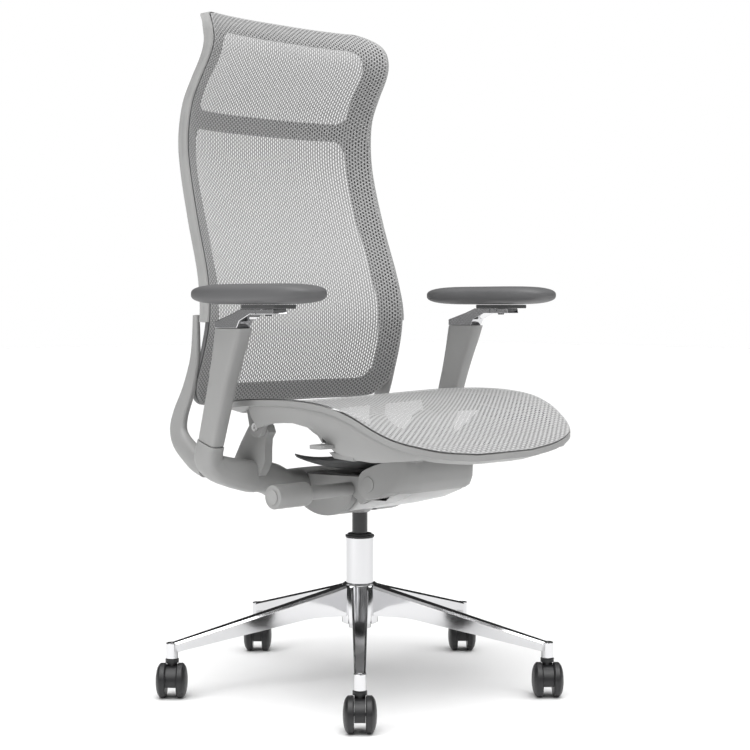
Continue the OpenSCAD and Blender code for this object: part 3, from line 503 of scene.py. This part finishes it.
def knit(name, wide, long, hole, warp, loop_highlight):
    """Elastic knit: columns of long holes, every other column half a pitch up, with a painted highlight
    where the loops cross; a hole's half sizes are shares of the pitch, and the hem has no holes."""
    mat = bpy.data.materials.new(name)
    mat.use_nodes = True
    n, l = mat.node_tree.nodes, mat.node_tree.links
    face = n["Principled BSDF"]
    face.inputs["Roughness"].default_value = 0.6
    face.inputs["Sheen Weight"].default_value = 0.25

    def maths(kind, a, b=None):
        node = n.new("ShaderNodeMath")
        node.operation = kind
        for socket, value in zip(node.inputs, (a, b)):
            if value is None:
                continue
            if isinstance(value, (int, float)):
                socket.default_value = value
            else:
                l.new(value, socket)
        return node.outputs[0]

    place = n.new("ShaderNodeUVMap")
    place.uv_map = "cloth"
    cut = n.new("ShaderNodeSeparateXYZ")
    l.new(place.outputs["UV"], cut.inputs["Vector"])
    across = maths("DIVIDE", cut.outputs["X"], wide)
    along = maths("DIVIDE", cut.outputs["Y"], long)
    shift = maths("MULTIPLY", maths("PINGPONG", maths("FLOOR", across), 1.0), 0.5)
    fu = maths("SUBTRACT", maths("FRACT", across), 0.5)
    fv = maths("SUBTRACT", maths("FRACT", maths("ADD", along, shift)), 0.5)
    squareness = 2.6
    ru = maths("POWER", maths("DIVIDE", maths("ABSOLUTE", fu), hole[0]), squareness)
    rv = maths("POWER", maths("DIVIDE", maths("ABSOLUTE", fv), hole[1]), squareness)
    reach = maths("ADD", ru, rv)
    thread = n.new("ShaderNodeMapRange")
    thread.interpolation_type = "SMOOTHSTEP"
    thread.inputs["From Min"].default_value, thread.inputs["From Max"].default_value = 0.75, 1.25
    l.new(reach, thread.inputs["Value"])
    edge = n.new("ShaderNodeUVMap")
    edge.uv_map = "hem"
    inward = n.new("ShaderNodeSeparateXYZ")
    l.new(edge.outputs["UV"], inward.inputs["Vector"])
    hem_width = 0.004
    hem = maths("LESS_THAN", inward.outputs["X"], hem_width)
    l.new(maths("MAXIMUM", thread.outputs["Result"], hem), face.inputs["Alpha"])
    # painted highlight: the bars between rows of holes, where the loops cross, take the lighter second
    # colour
    cross = n.new("ShaderNodeMapRange")
    cross.inputs["From Min"].default_value, cross.inputs["From Max"].default_value = 0.28, 0.46
    l.new(maths("ABSOLUTE", fv), cross.inputs["Value"])
    yarn_and_highlight = n.new("ShaderNodeMix")
    yarn_and_highlight.data_type = "RGBA"
    yarn_and_highlight.inputs["A"].default_value = (*warp, 1)
    yarn_and_highlight.inputs["B"].default_value = (*loop_highlight, 1)
    l.new(cross.outputs["Result"], yarn_and_highlight.inputs["Factor"])
    fuzz = n.new("ShaderNodeTexNoise")
    fuzz.inputs["Scale"].default_value = 420
    l.new(place.outputs["UV"], fuzz.inputs["Vector"])
    tint = n.new("ShaderNodeMapRange")
    tint.inputs["To Min"].default_value, tint.inputs["To Max"].default_value = 0.82, 1.15
    l.new(fuzz.outputs["Fac"], tint.inputs["Value"])
    shaded = n.new("ShaderNodeVectorMath")
    shaded.operation = "SCALE"
    l.new(yarn_and_highlight.outputs["Result"], shaded.inputs[0])
    l.new(tint.outputs["Result"], shaded.inputs["Scale"])
    l.new(shaded.outputs["Vector"], face.inputs["Base Color"])
    bump = n.new("ShaderNodeBump")
    bump.inputs["Strength"].default_value = 0.6
    bump.inputs["Distance"].default_value = 0.0006
    l.new(maths("ADD", maths("MINIMUM", reach, 2.0), fuzz.outputs["Fac"]), bump.inputs["Height"])
    l.new(bump.outputs["Normal"], face.inputs["Normal"])
    return mat


def stretched(name, grid, skin, body, node):
    """A knit sheet through the CAD grid; its UVs are the cloth's own sizes and the way to its edge."""
    m, n = len(grid), len(grid[0])
    points = grid.reshape(-1, 3)
    faces = [(j * n + i, j * n + i + 1, (j + 1) * n + i + 1, (j + 1) * n + i)
             for j in range(m - 1) for i in range(n - 1)]
    mesh = bpy.data.meshes.new(name)
    mesh.from_pydata([tuple(p) for p in points], [], faces)
    mesh.materials.append(skin)
    mesh.polygons.foreach_set("use_smooth", [True] * len(faces))
    steps = np.linalg.norm(np.diff(grid[:, n // 2], axis=0), axis=1)
    lengths = np.concatenate([[0], np.cumsum(steps)])
    runs = np.cumsum(np.linalg.norm(np.diff(grid, axis=1, prepend=grid[:, :1]), axis=2), axis=1)
    uv, hem = mesh.uv_layers.new(name="cloth"), mesh.uv_layers.new(name="hem")
    for loop in mesh.loops:
        j, i = divmod(loop.vertex_index, n)
        uv.data[loop.index].uv = (points[loop.vertex_index][0], lengths[j])
        to_edge = min(runs[j, i], runs[j, -1] - runs[j, i], lengths[j], lengths[-1] - lengths[j])
        hem.data[loop.index].uv = (to_edge, 0)
    piece = bpy.data.objects.new(name, mesh)
    scene.collection.objects.link(piece)
    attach(piece, body)
    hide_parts(node)
    return piece


def finer(rows, axis, count, columns):
    """The CAD grid drawn again with many more rows and columns."""
    place = np.array([r[0][axis] for r in rows])
    across = np.linspace(0, 1, columns)
    wide = np.array([curve(np.linspace(0, 1, len(r)), r, across) for r in rows])
    return curve(place, wide, np.linspace(place[0], place[-1], count))


# the second colour is a painted highlight where the loops cross
back_knit = knit("back_knit", 0.0051, 0.0074, (0.21, 0.33), (0.27, 0.27, 0.27), (0.40, 0.40, 0.40))
stretched("back_net", finer(back_rows, 2, 150, 61), back_knit, "back", "back_mesh")

# ---- Front link --------------------------------------------------------------
# A grey nylon casing that swings on the chassis and carries the front of the seat on a steel pin.
# It is moulded in one piece with a blunt rounded nose, and a round cap closes each side of its boss.

link_half, link_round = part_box("front_link")[1].x, 0.034
boss_y, boss_z, boss_round = -0.111, 0.374, 0.027
side_line = [(boss_y + boss_round * math.sin(math.radians(t)),
              boss_z + boss_round * math.cos(math.radians(t))) for t in range(20, 200, 15)]
# from the boss forward under the chin, up the nose and back along the top
side_line += [(-0.135, 0.352), (-0.158, 0.359), (-0.196, 0.364), (-0.206, 0.370), (-0.212, 0.384),
              (-0.214, 0.410), (-0.211, 0.420), (-0.190, 0.421), (-0.155, 0.415), (-0.124, 0.408)]
casing = []
for x in np.concatenate([np.linspace(-link_half, -link_half + link_round, 9),
                         np.linspace(link_half - link_round, link_half, 9)]):
    past = max(0.0, abs(x) - link_half + link_round)
    pull = link_round - math.sqrt(max(0.0, link_round ** 2 - past ** 2))
    casing.append([(x, y + pull * min(1.0, max(0.0, (-0.14 - y) / 0.06)), z) for y, z in side_line])
make("link_casing", *loft(casing), grey_nylon, "link", ["front_link"], "grey_nylon", 38, 0.0015)
for side in (-1, 1):
    cap = turned([(0.0, 0.0), (0.0125, 0.0), (0.0135, side * 0.0006), (0.0135, side * 0.0012),
                  (0.013, side * 0.0016), (0.0, side * 0.0018)],
                 (side * link_half, boss_y, boss_z), axis="x", count=48)
    make(f"boss_cap_{'right' if side < 0 else 'left'}", *cap, grey_nylon, "link", [], "grey_nylon", 30)

# ---- Seat --------------------------------------------------------------------
# A grey moulded ring with two ears for the rear pivots, and under its front half a pan that slopes
# in to the mechanism behind a smooth apron, arched over the yoke. A bolder knit is stretched over.

dress("seat_frame", "seat_ring", grey_nylon, "seat", "grey_nylon", 0.0012, 40)
dress("seat_pan", "seat_apron", grey_nylon, "seat", "grey_nylon", 0.0008, 40)
seat_rows = grid_of("seat_mesh", 1)
rear_end, seat_middle, least_hang = 0.034, -0.2, 0.014
edge_line = [r[0] for r in seat_rows[::-1] if r[0][1] < rear_end]
edge_line += list(seat_rows[0][1:-1]) + [r[-1] for r in seat_rows if r[-1][1] < rear_end]
# how low the apron hangs, from the front of the seat back to the ears
hang_y = [-0.480, -0.421, -0.373, -0.296, -0.262, -0.190, -0.172, -0.158, -0.146, -0.130, -0.084,
          -0.040, 0.0, 0.034]
hang_z = [0.444, 0.444, 0.440, 0.433, 0.430, 0.433, 0.442, 0.457, 0.469, 0.479, 0.486, 0.484, 0.477,
          0.468]
apron = []
for i, p in enumerate(edge_line):
    before, after = edge_line[max(0, i - 1)], edge_line[min(len(edge_line) - 1, i + 1)]
    inward = np.array([after[1] - before[1], before[0] - after[0], 0.0])
    inward *= -1 / max(1e-6, np.linalg.norm(inward))
    if inward @ np.array([-p[0], seat_middle - p[1], 0.0]) < 0:
        inward = -inward
    hang = max(least_hang, p[2] - float(np.interp(p[1], hang_y, hang_z)))
    skin_line = [(0.004, 0.004), (0.001, 0.010), (0.06 * hang, 0.3 * hang + 0.006),
                 (0.16 * hang, 0.6 * hang + 0.003), (0.40 * hang, hang),
                 (0.40 * hang + 0.010, hang - 0.001),
                 (0.30 * hang + 0.012, 0.55 * hang + 0.002), (0.018, 0.008)]
    apron.append([tuple(p + inward * within - np.array([0, 0, below]))
                  for within, below in skin_line])
make("apron_skin", *loft(apron), grey_nylon, "seat", ["seat_pan"], "grey_nylon", 50)
# the second colour is a painted highlight where the loops cross
seat_knit = knit("seat_knit", 0.0062, 0.009, (0.14, 0.25), (0.30, 0.30, 0.30), (0.46, 0.46, 0.46))
stretched("seat_net", finer(seat_rows, 1, 110, 61), seat_knit, "seat", "seat_mesh")
screw_steel = finish("screw_steel", (0.62, 0.62, 0.62), 0.25, metal=1.0, grain=300, relief=0.05)
dress("seat_pivot_screws", "pivot_screws", screw_steel, "seat", "steel", 0.0005)
paint("link_pin", stem_steel)
paint("lever_pin", stem_steel)

# ---- Height lever ------------------------------------------------------------
# A small grey paddle that hinges on a pin in the seat's right pod and frees the gas lift.
# It is moulded in one piece, and turns on a steel pin held in the pod.

dress("height_lever", "lift_paddle", grey_nylon, "lever", "grey_nylon", 0.0012)

# ---- Arms --------------------------------------------------------------------
# On each side a grey sleeve slides on the steel post, a polished bracket reaches forward from it,
# and a dark plate on the bracket's pivot carries a soft moulded polyurethane pad.

pad_foam = finish("pad_foam", (0.088, 0.088, 0.09), 0.55, spread=0.05, grain=1400, relief=0.16)
for side in ("left", "right"):
    dress(f"arm_sleeve_{side}", f"sleeve_{side}", grey_nylon, f"arm_{side}", "grey_nylon", 0.0012)
    dress(f"arm_bracket_{side}", f"bracket_{side}", chrome, f"arm_{side}",
          "polished_aluminium", 0.0012)
    dress(f"pad_plate_{side}", f"plate_{side}", dark_nylon, f"plate_{side}", "dark_nylon", 0.001)
    low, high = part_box(f"arm_pad_{side}")
    mid, half = (low + high) / 2, (high - low) / 2
    rings = []
    for t in np.linspace(-1, 1, 57):
        t = math.sin(t * math.pi / 2)
        swell = max(0.0, 1 - abs(t) ** 5) ** 0.42
        w = max(0.003, half.x * (0.14 + 0.86 * swell))
        h = max(0.002, half.z * swell)
        ring = []
        for k in range(48):
            a = 2 * math.pi * k / 48
            u, v = math.cos(a), math.sin(a)
            u, v = math.copysign(abs(u) ** 0.66, u), math.copysign(abs(v) ** 0.66, v)
            ring.append((mid.x + w * u, mid.y + half.y * t, mid.z + h * v))
        rings.append(ring)
    pad = make(f"soft_pad_{side}", *loft(rings), pad_foam, f"pad_{side}", [f"arm_pad_{side}"],
               "pad_foam", crease=60)

# ---- Sizes -------------------------------------------------------------------
# The box round everything shown is found, in metres.

low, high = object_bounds()
